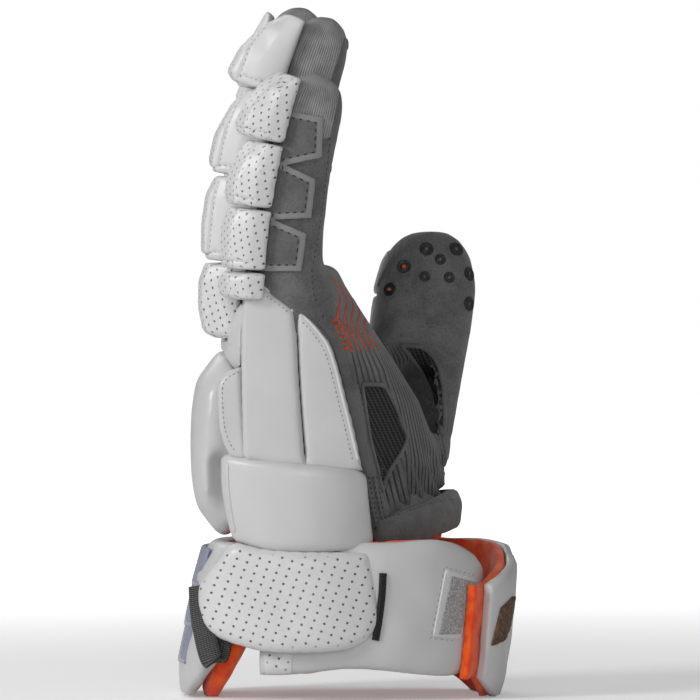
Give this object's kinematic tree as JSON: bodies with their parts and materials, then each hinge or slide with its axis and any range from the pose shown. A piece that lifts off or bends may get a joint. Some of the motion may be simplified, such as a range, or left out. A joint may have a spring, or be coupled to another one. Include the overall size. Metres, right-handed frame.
{
  "type": "lacrosse glove",
  "caption": "Right-hand padded lacrosse glove standing on its open cuff, with segmented foam pads on its back, a suede palm and a wrap-round wrist strap.",
  "frame": {"origin": "on the floor under the middle of the glove as it stands on its cuff", "axes": "+Z from the cuff to the fingertips, +X from the back of the hand to the palm, +Y from the little finger to the thumb"},
  "size_m": [0.1636, 0.1476, 0.3312],
  "materials": {
    "white_leather": "satin",
    "perforated_leather": "matte, perforated",
    "grey_suede": "brushed suede",
    "ribbed_knit": "ribbed knit",
    "dark_mesh": "open mesh",
    "orange_lining": "brushed",
    "clear_plastic": "translucent",
    "webbing": "ribbed weave",
    "brown_leather": "matte",
    "loop_tape": "loop pile"
  },
  "bodies": {
    "root": {"hand_body": "grey_suede", "thumb_sleeve": "grey_suede", "pinky_sleeve": "ribbed_knit", "ring_sleeve": "ribbed_knit", "middle_sleeve": "ribbed_knit", "index_sleeve": "ribbed_knit", "palm_mesh_heel": "dark_mesh", "palm_mesh_thumb": "dark_mesh", "pinky_knuckle": "perforated_leather", "pinky_lower_pad": "perforated_leather", "pinky_middle_pad": "perforated_leather", "pinky_tip_pad": "perforated_leather", "ring_knuckle": "perforated_leather", "ring_lower_pad": "white_leather", "ring_middle_pad": "white_leather", "ring_tip_pad": "white_leather", "middle_knuckle": "perforated_leather", "middle_lower_pad": "white_leather", "middle_middle_pad": "white_leather", "middle_tip_pad": "white_leather", "index_knuckle": "perforated_leather", "index_lower_pad": "white_leather", "index_middle_pad": "white_leather", "index_tip_pad": "white_leather", "thumb_tip_pad": "white_leather", "thumb_middle_pad": "white_leather", "thumb_lower_pad": "white_leather", "back_pad": "white_leather", "back_saddle": "white_leather", "outer_wrist_wrap": "white_leather", "inner_wrist_wrap": "white_leather", "outer_long_pad": "white_leather", "inner_long_pad": "white_leather", "outer_front_pad": "white_leather", "inner_front_pad": "white_leather", "outer_back_insert": "white_leather", "inner_back_insert": "white_leather", "outer_cuff_flap": "perforated_leather", "inner_cuff_flap": "perforated_leather", "cuff_back": "white_leather", "cuff_back_lining": "orange_lining", "cuff_plate_low": "clear_plastic", "cuff_plate_middle": "clear_plastic", "cuff_plate_high": "clear_plastic", "near_strap": "white_leather", "far_strap": "white_leather", "near_strap_lining": "orange_lining", "far_strap_lining": "orange_lining", "palm_hem": "grey_suede", "palm_lining": "orange_lining", "strap_loop_patch": "loop_tape", "strap_label": "brown_leather", "strap_edge_tape": "webbing", "cuff_webbing": "webbing", "little_finger_patch": "grey_suede"}
  },
  "joints": []
}
